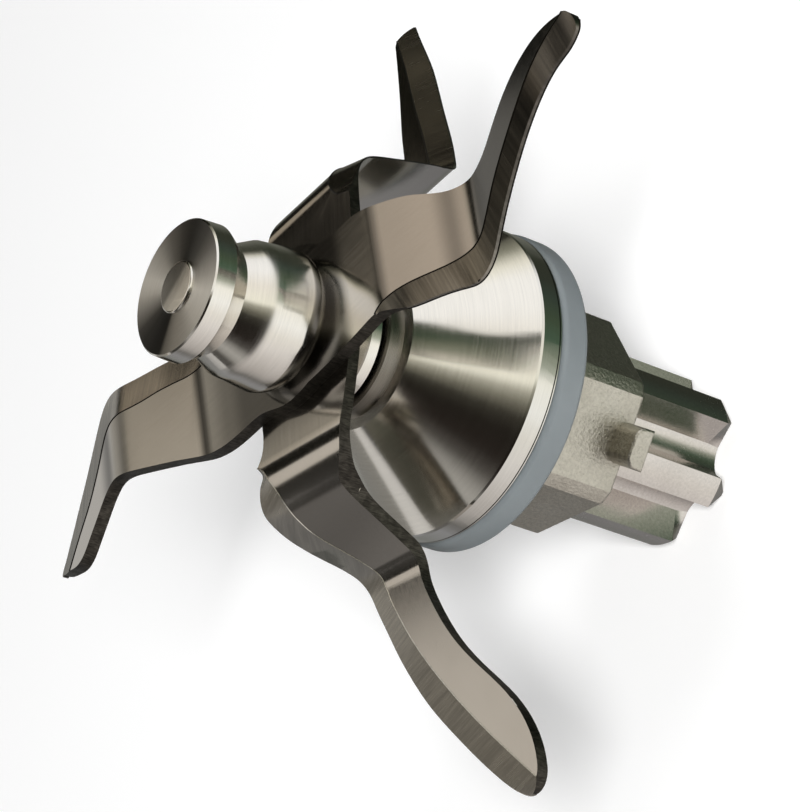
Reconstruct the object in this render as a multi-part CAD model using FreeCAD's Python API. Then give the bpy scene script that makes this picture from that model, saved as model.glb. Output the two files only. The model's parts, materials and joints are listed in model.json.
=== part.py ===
"""Blender blade assembly: two bent blade plates on a sealed, ball-borne spindle in a cast housing.

Units are millimetres. The Z axis is the spindle axis, with the blades up. The origin is the middle of
the drive coupling's flat end face, which the assembly stands on.
"""
import FreeCAD, Part
import math
import os
from FreeCAD import Vector

# Drive coupling: a six-lobed cast star that plugs into the motor's socket
LOBES = 6
LOBE_R = 11.2
LOBE_HALF_ANGLE = 10.5
FLUTE_R = 7.1
FLUTE_HALF_ANGLE = 13.0
FLUTE_HOLLOW = 0.5
LOBE_TURN = 19.5
COUPLING_TOP = 18.2
LEAD_IN = 2.1
LEAD_IN_LOBE_R = 9.8
LEAD_IN_LOBE_HALF_ANGLE = 1.6
LEAD_IN_FLUTE_R = 6.7
LEAD_IN_FLUTE_HALF_ANGLE = 14.0
BOSS_R = 5.6

# Spindle
SHAFT_R = 4.0
SHAFT_STUB_R = 3.35
FLAT_HALF_WIDTH = 2.75
SHAFT_BOTTOM = 3.6
SHAFT_CHAMFER = 0.4
STUB_PROUD = 0.4
STUB_EDGE = 0.35
BLADE_HOLE_CLEARANCE = 0.05

# Coupling screw, washer and key
SCREW_RECESS_R = 5.2
WASHER_R = 4.9
WASHER_HOLE_R = 2.1
WASHER_T = 0.8
SCREW_R = 2.0
SCREW_LENGTH = 9.0
SCREW_HEAD_R = 3.6
SCREW_HEAD_H = 2.0
SCREW_SOCKET_ACROSS = 2.5
SCREW_SOCKET_DEPTH = 1.2
KEY_WIDTH = 2.5
KEY_HEIGHT = 2.5
KEY_LENGTH = 9.0
KEY_BOTTOM = 6.0
KEY_ROOT_R = 2.75

# Ball bearings, two alike
BEARING_R = 11.0
BEARING_WIDTH = 7.0
RACE_WALL = 2.05
INNER_RACE_R = SHAFT_R + RACE_WALL
OUTER_RACE_R = BEARING_R - RACE_WALL
BALL_R = 1.98
BALLS = 7
GROOVE_PLAY = 0.04
SHIELD_T = 0.3
SHIELD_INSET = 0.25
SHIELD_GAP = 0.3
CAGE_T = 0.5
CAGE_HALF_HEIGHT = 1.3
CAGE_POCKET_PLAY = 0.06
RACE_EDGE = 0.3

# Stack inside the housing, from below
HOUSING_BOTTOM = 18.9
RETAINING_RING_T = 0.9
RETAINING_RING_OFFSET = 0.4
RETAINING_RING_DEPTH = 0.55
RETAINING_RING_WIDTH = 2.2
RETAINING_RING_GAP_ANGLE = 40.0
RETAINING_RING_EYE_R = 1.5
RETAINING_RING_EYE_HOLE_R = 0.6
BEARING_SPACING = 11.8
RACE_SPACER_WALL = 1.4

# Housing: one casting with a turned cone, a polished rim, a seal groove and a hexagon with two lugs
HEX_HALF_ACROSS = 12.9
HEX_CORNER_R = 14.35
HEX_EDGE = 0.7
LUG_HALF_WIDTH = 2.7
LUG_LENGTH = 2.8
LUG_REACH = 17.3
LUG_ROUND = 1.6
SEAL_BOTTOM = 33.1
SEAL_HEIGHT = 4.0
SEAL_SEAT_R = 17.2
SEAL_WALL = 3.3
SEAL_R = SEAL_SEAT_R + SEAL_WALL
SEAL_ROUND = 0.9
SEAL_LIP_STEP = 0.9
SEAL_LIP_R = SEAL_SEAT_R + SEAL_LIP_STEP
SEAL_LIP_T = 1.2
RIM_SETBACK = 0.25
RIM_R = SEAL_R - RIM_SETBACK
RIM_HEIGHT = 3.3
RIM_EDGE = 0.3
CONE_HEIGHT = 11.7
CONE_TOP_R = 9.8
CONE_FOOT_FILLET = 0.8
NECK_R = 8.6
NECK_HEIGHT = 2.7
NECK_EDGE = 0.25
WEB_BORE_R = 6.2

# Shaft seal in the neck
SHAFT_SEAL_R = 7.2
SHAFT_SEAL_HEIGHT = 4.3
SHAFT_SEAL_SETBACK = 0.2
SEAL_CASE_T = 0.35
SEAL_LIP_PLAY = 0.06
SEAL_LIP_EDGE = 0.5
SEAL_LIP_RELIEF = 0.25
SEAL_LIP_DEPTH = 1.3
SEAL_THROAT_DEPTH = 1.9
SEAL_ROOT_DEPTH = 2.4
SEAL_ROOT_GAP = 0.7
GARTER_WIRE_R = 0.35

# Slinger: the turned spacer with a ring that the blades rest on
SLINGER_TUBE_R = 5.5
SLINGER_R = 7.8
SLINGER_GAP = 0.35
SLINGER_T = 1.7
SLINGER_SHOULDER = 3.75
SLINGER_SHOULDER_R = 5.9

# Blade plates: folded from one sheet each, every arm in the direction that its fold lines face
LOWER_SHEET_T = 1.5
UPPER_SHEET_T = 1.75
HUB_R = 10.5
EDGE_LAND = 0.25
UPPER_EDGE_LAND = 0.45
BEVEL_LEAST_WIDTH = 1.0
BEVEL_STEPS = 2
BEVEL_START_LIFT = 0.12
CUTTER_INNER_MARGIN = 0.8
CUTTER_OUTER_MARGIN = 1.6
CUTTER_HEIGHT = 1.8

# Folds of each arm: distances outwards, slopes of the panels beyond them in degrees, radii of the middle
# of the sheet, and the length over which the ground bevel comes in
ARM1_FOLDS = (17.6, 33.9)
ARM1_SLOPES = (-6.0, 15.0)
ARM1_RADII = (4.2, 9.0)
ARM1_RUN_OUT = 5.0
ARM3_FOLDS = (18.6, 35.2)
ARM3_SLOPES = (5.0, -13.0)
ARM3_RADII = (9.0, 12.0)
ARM3_RUN_OUT = 5.0
ARM4_FOLDS = (19.0, 25.75)
ARM4_SLOPES = (-68.0, -17.0)
ARM4_RADII = (6.0, 4.2)
ARM4_RUN_OUT = 1.4
ARM2_FOLDS = (19.75, 26.33)
ARM2_SLOPES = (-71.0, -9.0)
ARM2_RADII = (6.0, 4.2)
ARM2_RUN_OUT = 3.5

# Directions of the arms about the spindle, and the margin of the tool that cuts the hub's hole
ARM1_TURN = -45.0
ARM3_TURN = 135.0
ARM4_TURN = -148.0
ARM2_TURN = 42.0
HOLE_MARGIN = 1.0

# Plan outlines of the arms: (outward, sideways) points along the trailing edge and the cutting edge, and
# along the line where the ground bevel meets the top face
ARM1_TRAIL = [(3.0, 9.0), (6.8, 7.7), (10.1, 6.6), (14.3, 6.5), (18.1, 5.4), (24.6, 2.5), (30.8, -1.2),
              (34.2, -2.0), (37.4, -1.8), (41.6, 0.0), (46.5, 1.7), (52.8, 1.9), (58.0, 0.4), (60.0, -0.6)]
ARM1_TIP = (61.4, -2.0)
ARM1_EDGE = [(0.0, -10.0), (7.0, -10.2), (13.0, -9.8), (16.7, -9.7), (20.5, -11.1), (24.8, -12.5), (29.0, -14.1),
             (31.3, -14.8), (33.3, -14.1), (36.9, -11.1), (41.3, -7.8), (45.5, -5.4), (50.1, -3.7), (55.2, -3.2),
             (59.3, -3.6), (60.9, -3.2)]
ARM1_BEVEL = [(14.8, -10.4), (16.2, -9.2), (18.2, -8.8), (20.4, -8.9), (24.8, -9.9), (29.7, -11.2), (31.4, -11.4),
              (33.2, -11.2), (35.4, -10.2), (38.5, -7.6), (42.5, -5.0), (46.7, -2.9), (51.0, -1.2), (55.4, -0.5),
              (59.5, -0.6), (65.0, -0.9)]
ARM3_TRAIL = [(0.0, 10.4), (2.5, 10.3), (4.7, 9.5), (7.0, 8.6), (10.0, 8.3), (15.0, 8.0), (18.6, 7.0), (23.7, 4.6),
              (29.4, 2.0), (35.0, -0.4), (38.2, -1.2), (41.8, -0.5), (44.4, 0.5), (46.6, 1.3), (49.2, 2.2),
              (51.6, 2.2), (54.2, 1.2), (56.6, 0.0), (58.5, -1.3)]
ARM3_TIP = (59.5, -2.0)
ARM3_EDGE = [(0.0, -9.2), (7.0, -9.4), (14.0, -9.6), (20.0, -10.9), (25.4, -12.6), (33.1, -14.4), (36.0, -15.3),
             (38.8, -16.1), (41.0, -15.9), (43.6, -14.4), (48.3, -10.6), (51.9, -8.0), (57.5, -4.0), (59.4, -2.8)]
ARM3_BEVEL = [(12.5, -10.6), (14.0, -8.6), (16.0, -7.1), (18.3, -6.4), (22.1, -6.9), (26.0, -7.9), (30.0, -8.6),
              (33.0, -9.3), (35.2, -9.8), (36.8, -9.8), (38.0, -9.5), (39.5, -8.5), (40.8, -7.2), (43.5, -4.9),
              (46.2, -3.1), (48.7, -1.9), (51.3, -0.6), (54.0, 0.9), (57.5, 2.8), (61.0, 4.7)]
ARM4_TRAIL = [(0.0, 10.4), (5.0, 10.6), (10.8, 9.8), (15.7, 8.7), (18.3, 7.5), (19.9, 5.7), (21.5, 3.7), (23.4, 3.0),
              (25.2, 2.4), (28.0, 1.8), (31.4, 2.4), (37.0, 4.9), (41.6, 8.5), (46.3, 12.3), (50.5, 14.0),
              (53.9, 14.0)]
ARM4_TIP = (56.3, 12.3)
ARM4_EDGE = [(0.0, -9.4), (5.0, -8.4), (10.0, -7.4), (14.3, -7.3), (16.0, -8.6), (17.4, -10.0), (18.8, -11.1),
             (20.2, -12.1), (21.3, -12.5), (22.4, -12.1), (23.8, -10.9), (25.2, -10.1), (28.6, -9.1), (31.8, -8.1),
             (35.2, -7.0), (38.7, -5.5), (42.2, -3.6), (46.3, -0.6), (50.3, 2.7), (53.0, 5.2), (55.6, 8.2),
             (56.4, 9.6)]
ARM4_BEVEL = [(15.0, -8.6), (16.4, -7.0), (17.8, -6.2), (19.2, -5.9), (20.4, -6.3), (21.6, -6.9), (22.8, -6.5),
              (24.1, -5.6), (25.5, -5.1), (27.5, -4.9), (30.4, -4.2), (35.4, -2.1), (41.3, 1.5), (47.2, 6.0),
              (53.1, 11.2), (58.5, 16.2)]
ARM2_TRAIL = [(0.0, 8.6), (6.0, 7.4), (12.0, 5.2), (17.8, 4.4), (20.5, 3.4), (22.5, 1.9), (25.0, 0.5), (29.0, -0.1),
              (34.8, 0.2), (39.0, 0.9), (45.1, 1.6), (52.2, 2.5), (58.2, 3.4)]
ARM2_TIP = (60.0, 2.6)
ARM2_EDGE = [(0.0, -10.2), (4.0, -11.2), (9.6, -12.1), (14.5, -12.4), (17.8, -12.6), (20.7, -12.2), (22.6, -11.8),
             (24.4, -11.1), (26.0, -10.1), (27.8, -9.2), (30.0, -8.7), (33.8, -7.8), (37.2, -6.8), (42.9, -5.2),
             (49.8, -3.2), (55.2, -1.1), (60.8, 1.0)]
ARM2_BEVEL = [(13.0, -13.0), (13.5, -11.0), (14.3, -9.6), (15.7, -8.8), (17.5, -8.2), (19.6, -7.8), (22.0, -7.6),
              (24.5, -7.2), (27.5, -6.2), (30.8, -5.2), (36.4, -3.7), (39.6, -2.7), (44.5, -1.2), (51.9, 0.8),
              (56.2, 2.2), (62.0, 4.2)]

# Knob that clamps the blades
KNOB_FOOT_R = 7.9
KNOB_COLLAR_R = 9.15
KNOB_COLLAR_BOTTOM = 2.5
KNOB_COLLAR_HEIGHT = 5.0
KNOB_SHOULDER_R = 8.6
KNOB_WAIST_HEIGHT = 3.3
KNOB_WAIST_R = 7.0
KNOB_FLARE_HEIGHT = 2.7
KNOB_DISC_R = 8.75
KNOB_DISC_HEIGHT = 2.75
KNOB_FACE_R = 8.45
KNOB_FACE_DISH = 0.25
KNOB_EDGE = 0.2

# Sizes that follow from those above
RETAINING_RING_BOTTOM = HOUSING_BOTTOM + RETAINING_RING_OFFSET
LOWER_BEARING_BOTTOM = RETAINING_RING_BOTTOM + RETAINING_RING_T
UPPER_BEARING_BOTTOM = LOWER_BEARING_BOTTOM + BEARING_WIDTH + BEARING_SPACING
BEARING_SHOULDER = UPPER_BEARING_BOTTOM + BEARING_WIDTH
PITCH_R = (INNER_RACE_R + OUTER_RACE_R) / 2
RIM_BOTTOM = SEAL_BOTTOM + SEAL_HEIGHT
RIM_TOP = RIM_BOTTOM + RIM_HEIGHT
NECK_BOTTOM = RIM_TOP + CONE_HEIGHT
NECK_TOP = NECK_BOTTOM + NECK_HEIGHT
SHAFT_SEAL_BOTTOM = NECK_TOP - SHAFT_SEAL_HEIGHT
SLINGER_BOTTOM = NECK_TOP + SLINGER_GAP
LOWER_BLADE_BOTTOM = SLINGER_BOTTOM + SLINGER_T + SLINGER_SHOULDER
UPPER_BLADE_BOTTOM = LOWER_BLADE_BOTTOM + LOWER_SHEET_T
KNOB_BOTTOM = UPPER_BLADE_BOTTOM + UPPER_SHEET_T
KNOB_COLLAR_TOP = KNOB_BOTTOM + KNOB_COLLAR_BOTTOM + KNOB_COLLAR_HEIGHT
KNOB_DISC_BOTTOM = KNOB_COLLAR_TOP + KNOB_WAIST_HEIGHT + KNOB_FLARE_HEIGHT
KNOB_TOP = KNOB_DISC_BOTTOM + KNOB_DISC_HEIGHT
SHAFT_TOP = KNOB_TOP - KNOB_FACE_DISH + STUB_PROUD
CUTTER = 60.0
CURVE_POINTS = 160
SHEET_REACH = 70.0
FLAT_TURN = -45.0


def polar(radius, degrees, z=0.0):
    """A point at a radius and an angle about the spindle axis."""
    angle = math.radians(degrees)
    return Vector(radius * math.cos(angle), radius * math.sin(angle), z)


def line(a, b):
    """A straight edge."""
    return Part.LineSegment(a, b).toShape()


def arc(a, middle, b):
    """A circular edge through three points."""
    return Part.Arc(a, middle, b).toShape()


def spline(points):
    """A smooth edge through points."""
    curve = Part.BSplineCurve()
    curve.interpolate(points)
    return curve.toShape()


def cylinder(radius, bottom, top):
    """An upright cylinder on the spindle axis."""
    return Part.makeCylinder(radius, top - bottom, Vector(0, 0, bottom))


def tube(outer, inner, bottom, top):
    """An upright tube on the spindle axis."""
    return cylinder(outer, bottom, top).cut(cylinder(inner, bottom, top))


def turned(outline):
    """A solid turned about the spindle axis from a closed (radius, height) outline."""
    points = [Vector(r, 0, z) for r, z in outline]
    face = Part.Face(Part.makePolygon(points + [points[0]]))
    return face.revolve(Vector(0, 0, 0), Vector(0, 0, 1), 360)


def ring_of_wire(radius, wire_radius, z):
    """A round wire bent into a ring."""
    return Part.makeTorus(radius, wire_radius, Vector(0, 0, z), Vector(0, 0, 1))


def circles_at(solid, radius, height):
    """The full circular edges of a solid that have a radius and a height."""
    found = []
    for edge in solid.Edges:
        curve = edge.Curve
        if isinstance(curve, Part.Circle) and abs(curve.Radius - radius) < 1e-6:
            if abs(curve.Center.z - height) < 1e-6 and abs(curve.Axis.z) > 0.999:
                found.append(edge)
    return found


def save(name, shape):
    """Writes one sub-part to its own file."""
    if not shape.isValid():
        raise ValueError(name + " is not a valid solid")
    shape.exportStep("parts/" + name + ".step")
    print(name, len(shape.Solids), round(sum(s.Volume for s in shape.Solids), 1))


def star_wire(lobe_r, lobe_half, flute_r, flute_half, hollow, z):
    """The closed outline of the coupling at one height: lobes and hollow flutes in turn."""
    pitch = 360.0 / LOBES
    edges = []
    for i in range(LOBES):
        lobe = LOBE_TURN + i * pitch
        flute = lobe + pitch / 2
        start = polar(lobe_r, lobe - lobe_half, z)
        end = polar(lobe_r, lobe + lobe_half, z)
        floor_start = polar(flute_r, flute - flute_half, z)
        floor_end = polar(flute_r, flute + flute_half, z)
        next_start = polar(lobe_r, lobe + pitch - lobe_half, z)
        edges.append(arc(start, polar(lobe_r, lobe, z), end))
        edges.append(line(end, floor_start))
        edges.append(arc(floor_start, polar(flute_r - hollow, flute, z), floor_end))
        edges.append(line(floor_end, next_start))
    return Part.Wire(edges)


def drive_coupling():
    """The cast star with its tapered lead-in, boss, bore, keyway and screw recess."""
    body = Part.Face(star_wire(LOBE_R, LOBE_HALF_ANGLE, FLUTE_R, FLUTE_HALF_ANGLE, FLUTE_HOLLOW, LEAD_IN))
    star = body.extrude(Vector(0, 0, COUPLING_TOP - LEAD_IN))
    foot = star_wire(LEAD_IN_LOBE_R, LEAD_IN_LOBE_HALF_ANGLE, LEAD_IN_FLUTE_R, LEAD_IN_FLUTE_HALF_ANGLE,
                     FLUTE_HOLLOW, 0.0)
    rim = star_wire(LOBE_R, LOBE_HALF_ANGLE, FLUTE_R, FLUTE_HALF_ANGLE, FLUTE_HOLLOW, LEAD_IN)
    lead_in = Part.makeLoft([foot, rim], True, True)
    boss = cylinder(BOSS_R, COUPLING_TOP - LEAD_IN, LOWER_BEARING_BOTTOM)
    coupling = star.fuse(lead_in).fuse(boss)
    coupling = coupling.cut(cylinder(SHAFT_R, 0.0, LOWER_BEARING_BOTTOM))
    coupling = coupling.cut(cylinder(SCREW_RECESS_R, 0.0, SHAFT_BOTTOM - 0.2))
    return coupling.cut(key_block()).removeSplitter()


def key_block():
    """The parallel key between the spindle and the coupling."""
    return Part.makeBox(KEY_HEIGHT, KEY_WIDTH, KEY_LENGTH,
                        Vector(KEY_ROOT_R, -KEY_WIDTH / 2, KEY_BOTTOM))


def coupling_washer():
    """The flat washer under the screw's head."""
    top = SHAFT_BOTTOM - 0.2
    return tube(WASHER_R, WASHER_HOLE_R, top - WASHER_T, top)


def coupling_screw():
    """The socket-head screw that pulls the coupling onto the spindle."""
    seat = SHAFT_BOTTOM - 0.2 - WASHER_T
    head = cylinder(SCREW_HEAD_R, seat - SCREW_HEAD_H, seat)
    head = head.makeChamfer(0.3, circles_at(head, SCREW_HEAD_R, seat - SCREW_HEAD_H))
    corners = [polar(SCREW_SOCKET_ACROSS / math.sqrt(3), 60 * i, seat - SCREW_HEAD_H) for i in range(7)]
    socket = Part.Face(Part.makePolygon(corners)).extrude(Vector(0, 0, SCREW_SOCKET_DEPTH))
    return head.fuse(cylinder(SCREW_R, seat, SHAFT_BOTTOM + SCREW_LENGTH)).cut(socket)


def drive_shaft():
    """The spindle: journals below, a flatted stub through the blades, a domed end in the knob."""
    body = cylinder(SHAFT_R, SHAFT_BOTTOM, LOWER_BLADE_BOTTOM)
    body = body.makeChamfer(SHAFT_CHAMFER, circles_at(body, SHAFT_R, SHAFT_BOTTOM))
    stub = cylinder(SHAFT_STUB_R, LOWER_BLADE_BOTTOM, SHAFT_TOP)
    stub = stub.makeFillet(STUB_EDGE, circles_at(stub, SHAFT_STUB_R, SHAFT_TOP))
    for side in (-1, 1):
        y = FLAT_HALF_WIDTH if side > 0 else -FLAT_HALF_WIDTH - SHAFT_STUB_R
        flat = Part.makeBox(2 * SHAFT_STUB_R, SHAFT_STUB_R, LOWER_SHEET_T + UPPER_SHEET_T,
                            Vector(-SHAFT_STUB_R, y, LOWER_BLADE_BOTTOM))
        flat.rotate(Vector(0, 0, 0), Vector(0, 0, 1), FLAT_TURN)
        stub = stub.cut(flat)
    shaft = body.fuse(stub)
    shaft = shaft.cut(cylinder(SCREW_R, SHAFT_BOTTOM, SHAFT_BOTTOM + SCREW_LENGTH))
    return shaft.cut(key_block()).removeSplitter()


def race(inner, outer, groove_side, bottom):
    """One bearing race with its ball groove, its outer corners rounded."""
    top = bottom + BEARING_WIDTH
    blank = tube(outer, inner, bottom, top)
    fit_r = inner if groove_side == "outside" else outer
    corners = circles_at(blank, fit_r, bottom) + circles_at(blank, fit_r, top)
    blank = blank.makeFillet(RACE_EDGE, corners)
    groove = ring_of_wire(PITCH_R, BALL_R + GROOVE_PLAY, bottom + BEARING_WIDTH / 2)
    return blank.cut(groove)


def bearing(prefix, bottom):
    """Writes one shielded ball bearing: two races, balls, cage and shields."""
    middle = bottom + BEARING_WIDTH / 2
    save(prefix + "_bearing_inner_race", race(SHAFT_R, INNER_RACE_R, "outside", bottom))
    save(prefix + "_bearing_outer_race", race(OUTER_RACE_R, BEARING_R, "inside", bottom))
    centres = [polar(PITCH_R, 360.0 * i / BALLS, middle) for i in range(BALLS)]
    save(prefix + "_bearing_balls", Part.makeCompound([Part.makeSphere(BALL_R, c) for c in centres]))
    cage = tube(PITCH_R + CAGE_T / 2, PITCH_R - CAGE_T / 2, middle - CAGE_HALF_HEIGHT, middle + CAGE_HALF_HEIGHT)
    for centre in centres:
        cage = cage.cut(Part.makeSphere(BALL_R + CAGE_POCKET_PLAY, centre))
    links = tube(PITCH_R + CAGE_T / 2, PITCH_R - CAGE_T / 2, middle + CAGE_HALF_HEIGHT,
                 middle + BALL_R + CAGE_T)
    for centre in centres:
        links = links.cut(Part.makeSphere(BALL_R + CAGE_POCKET_PLAY, centre))
    save(prefix + "_bearing_cage", cage.fuse(links).removeSplitter())
    discs = []
    for low in (bottom + SHIELD_INSET, bottom + BEARING_WIDTH - SHIELD_INSET - SHIELD_T):
        discs.append(tube(OUTER_RACE_R, INNER_RACE_R + SHIELD_GAP, low, low + SHIELD_T))
    save(prefix + "_bearing_shields", Part.makeCompound(discs))


def retaining_ring():
    """The sprung ring that holds the bearings in the housing, with its two eyes."""
    low = RETAINING_RING_BOTTOM
    high = low + RETAINING_RING_T
    outer = BEARING_R + RETAINING_RING_DEPTH
    inner = BEARING_R - RETAINING_RING_WIDTH + RETAINING_RING_DEPTH
    ring = tube(outer, inner, low, high)
    half = RETAINING_RING_GAP_ANGLE / 2
    wedge = Part.makePolygon([Vector(0, 0, low), polar(CUTTER, 180 - half, low), polar(CUTTER, 180 + half, low),
                              Vector(0, 0, low)])
    ring = ring.cut(Part.Face(wedge).extrude(Vector(0, 0, RETAINING_RING_T)))
    for side in (-1, 1):
        centre = polar(inner + RETAINING_RING_EYE_R / 2, 180 + side * (half + 5), low)
        eye = Part.makeCylinder(RETAINING_RING_EYE_R, RETAINING_RING_T, centre)
        hole = Part.makeCylinder(RETAINING_RING_EYE_HOLE_R, RETAINING_RING_T, centre)
        ring = ring.fuse(eye).cut(hole)
    return ring.removeSplitter()


def hexagon():
    """The cast hexagon, its corners trimmed round and its long edges softened."""
    corner = HEX_HALF_ACROSS / math.cos(math.radians(30))
    points = [polar(corner, 60 * i, HOUSING_BOTTOM) for i in range(7)]
    block = Part.Face(Part.makePolygon(points)).extrude(Vector(0, 0, SEAL_BOTTOM - HOUSING_BOTTOM))
    block = block.common(cylinder(HEX_CORNER_R, HOUSING_BOTTOM, SEAL_BOTTOM))
    edges = [e for e in block.Edges if abs(e.tangentAt(e.FirstParameter).z) < 0.01
             and e.BoundBox.ZMax < HOUSING_BOTTOM + 0.01]
    return block.makeFillet(HEX_EDGE, edges)


def lugs():
    """The two bayonet lugs on opposite flats of the hexagon, rounded towards the blades."""
    shapes = []
    root = HEX_HALF_ACROSS - HEX_EDGE - 0.3
    top = HOUSING_BOTTOM + LUG_LENGTH
    for side in (-1, 1):
        low = side * root if side > 0 else -LUG_REACH
        block = Part.makeBox(2 * LUG_HALF_WIDTH, LUG_REACH - root, LUG_LENGTH,
                             Vector(-LUG_HALF_WIDTH, low, HOUSING_BOTTOM))
        rounded = [e for e in block.Edges if e.Length < LUG_REACH - root + 0.01
                   and abs(e.tangentAt(e.FirstParameter).y) > 0.99 and e.BoundBox.ZMin > top - 0.01]
        block = block.makeFillet(LUG_ROUND, rounded)
        soft = [e for e in block.Edges if abs(abs(e.BoundBox.YMin) - LUG_REACH) < 0.01
                and abs(abs(e.BoundBox.YMax) - LUG_REACH) < 0.01]
        shapes.append(block.makeFillet(0.4, soft))
    return shapes


def bearing_housing():
    """The casting: neck, cone, polished rim, seal groove, hexagon with lugs, and its stepped bore."""
    outer = [(WEB_BORE_R - 1.0, SEAL_BOTTOM - SEAL_LIP_T),
             (SEAL_LIP_R - 0.4, SEAL_BOTTOM - SEAL_LIP_T),
             (SEAL_LIP_R, SEAL_BOTTOM - SEAL_LIP_T + 0.4),
             (SEAL_LIP_R, SEAL_BOTTOM),
             (SEAL_SEAT_R, SEAL_BOTTOM),
             (SEAL_SEAT_R, RIM_BOTTOM),
             (RIM_R - RIM_EDGE, RIM_BOTTOM),
             (RIM_R, RIM_BOTTOM + RIM_EDGE),
             (RIM_R, RIM_TOP - RIM_EDGE),
             (RIM_R - RIM_EDGE / 2, RIM_TOP),
             (CONE_TOP_R, NECK_BOTTOM),
             (NECK_R, NECK_BOTTOM + CONE_FOOT_FILLET / 2),
             (NECK_R, NECK_TOP - NECK_EDGE),
             (NECK_R - NECK_EDGE, NECK_TOP),
             (WEB_BORE_R - 1.0, NECK_TOP)]
    housing = turned(outer).fuse(hexagon())
    for lug in lugs():
        housing = housing.fuse(lug)
    bore = cylinder(BEARING_R, HOUSING_BOTTOM - 1.0, BEARING_SHOULDER)
    groove = cylinder(BEARING_R + RETAINING_RING_DEPTH, RETAINING_RING_BOTTOM, LOWER_BEARING_BOTTOM)
    web = cylinder(WEB_BORE_R, BEARING_SHOULDER, SHAFT_SEAL_BOTTOM)
    pocket = cylinder(SHAFT_SEAL_R, SHAFT_SEAL_BOTTOM, NECK_TOP + 1.0)
    hollow = bore.fuse(groove).fuse(web).fuse(pocket)
    core = cylinder(WEB_BORE_R, HOUSING_BOTTOM - 1.0, NECK_TOP + 1.0)
    return housing.cut(hollow).cut(core).removeSplitter()


def sealing_ring():
    """The silicone ring under the rim, with rounded outer corners."""
    ring = tube(SEAL_R, SEAL_SEAT_R, SEAL_BOTTOM, SEAL_BOTTOM + SEAL_HEIGHT)
    corners = circles_at(ring, SEAL_R, SEAL_BOTTOM) + circles_at(ring, SEAL_R, SEAL_BOTTOM + SEAL_HEIGHT)
    return ring.makeFillet(SEAL_ROUND, corners)


def lip_seal_case():
    """The pressed steel case of the shaft seal, an angle in section."""
    top = NECK_TOP - SHAFT_SEAL_SETBACK
    low = SHAFT_SEAL_BOTTOM
    return turned([(SHAFT_SEAL_R, low), (SHAFT_SEAL_R, top), (SHAFT_SEAL_R - SEAL_CASE_T, top),
                   (SHAFT_SEAL_R - SEAL_CASE_T, low + SEAL_CASE_T),
                   (SLINGER_TUBE_R + SEAL_ROOT_GAP, low + SEAL_CASE_T), (SLINGER_TUBE_R + SEAL_ROOT_GAP, low)])


def lip_seal():
    """The rubber lip that wipes the slinger's tube, moulded into its case."""
    top = NECK_TOP - SHAFT_SEAL_SETBACK
    low = SHAFT_SEAL_BOTTOM + SEAL_CASE_T
    wall = SHAFT_SEAL_R - SEAL_CASE_T
    lip = SLINGER_TUBE_R + SEAL_LIP_PLAY
    body = turned([(wall, low), (wall, top), (lip + SEAL_LIP_EDGE, top), (lip, top - SEAL_LIP_EDGE),
                   (lip + SEAL_LIP_RELIEF, top - SEAL_LIP_DEPTH), (lip + SEAL_LIP_RELIEF, top - SEAL_THROAT_DEPTH),
                   (lip + SEAL_ROOT_GAP, top - SEAL_ROOT_DEPTH), (lip + SEAL_ROOT_GAP, low)])
    return body.cut(garter_groove())


def garter_place():
    """The radius and height of the garter spring's ring."""
    return SLINGER_TUBE_R + SEAL_LIP_PLAY + 0.75, NECK_TOP - SHAFT_SEAL_SETBACK - GARTER_WIRE_R


def garter_groove():
    """The open groove in the lip's top that holds the garter spring."""
    radius, z = garter_place()
    seat = ring_of_wire(radius, GARTER_WIRE_R, z)
    mouth = tube(radius + GARTER_WIRE_R, radius - GARTER_WIRE_R, z, NECK_TOP)
    return seat.fuse(mouth)


def garter_spring():
    """The sprung ring that keeps the lip on the tube."""
    radius, z = garter_place()
    return ring_of_wire(radius, GARTER_WIRE_R, z)


def slinger():
    """The turned spacer: a tube through the shaft seal, a throw-off ring and a shoulder under the blades."""
    ring_top = SLINGER_BOTTOM + SLINGER_T
    outline = [(SHAFT_R, BEARING_SHOULDER), (SLINGER_TUBE_R - 0.3, BEARING_SHOULDER),
               (SLINGER_TUBE_R, BEARING_SHOULDER + 0.3), (SLINGER_TUBE_R, SLINGER_BOTTOM),
               (SLINGER_R - 0.15, SLINGER_BOTTOM), (SLINGER_R, SLINGER_BOTTOM + 0.15),
               (SLINGER_R, ring_top - 0.2), (SLINGER_R - 0.2, ring_top), (SLINGER_SHOULDER_R, ring_top),
               (SLINGER_SHOULDER_R, LOWER_BLADE_BOTTOM), (SHAFT_R, LOWER_BLADE_BOTTOM)]
    return turned(outline)


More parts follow.
